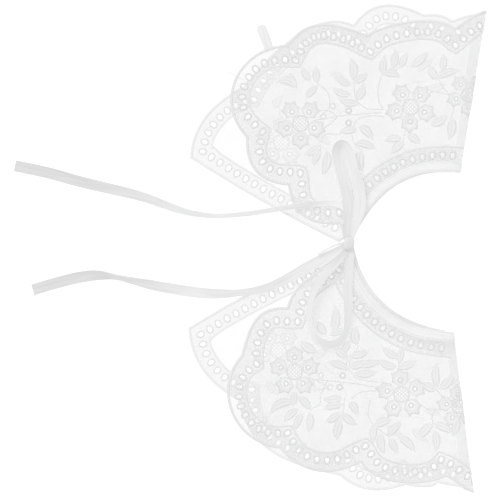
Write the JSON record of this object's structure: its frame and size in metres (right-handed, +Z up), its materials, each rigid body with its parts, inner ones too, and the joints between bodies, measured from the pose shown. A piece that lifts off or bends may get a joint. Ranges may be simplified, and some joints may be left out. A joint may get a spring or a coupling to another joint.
{
  "type": "lace collar",
  "caption": "Sheer embroidered lace collar with scalloped eyelet edges, folded at the shoulders, tied with a ribbon bow and laid flat.",
  "frame": {"origin": "on the table, under the middle of the collar's bounding box", "axes": "+Z up from the table; +X towards the open neck and the shoulder folds, away from the ribbon ends; +Y towards the half with the tab"},
  "size_m": [0.4017, 0.4147, 0.0148],
  "materials": {
    "organza": "sheer, satin",
    "stitching": "matte thread and binding",
    "ribbon": "satin"
  },
  "bodies": {
    "root": {"front_upper": "organza", "front_lower": "organza", "back_upper": "organza", "back_lower": "organza", "neckband_front_upper": "stitching", "neckband_front_lower": "stitching", "neckband_back_upper": "stitching", "neckband_back_lower": "stitching", "ribbon_tail_upper": "ribbon", "ribbon_tail_lower": "ribbon", "bow_loop_upper": "ribbon", "bow_loop_lower": "ribbon", "bow_knot": "ribbon", "side_tab": "stitching"}
  },
  "joints": []
}
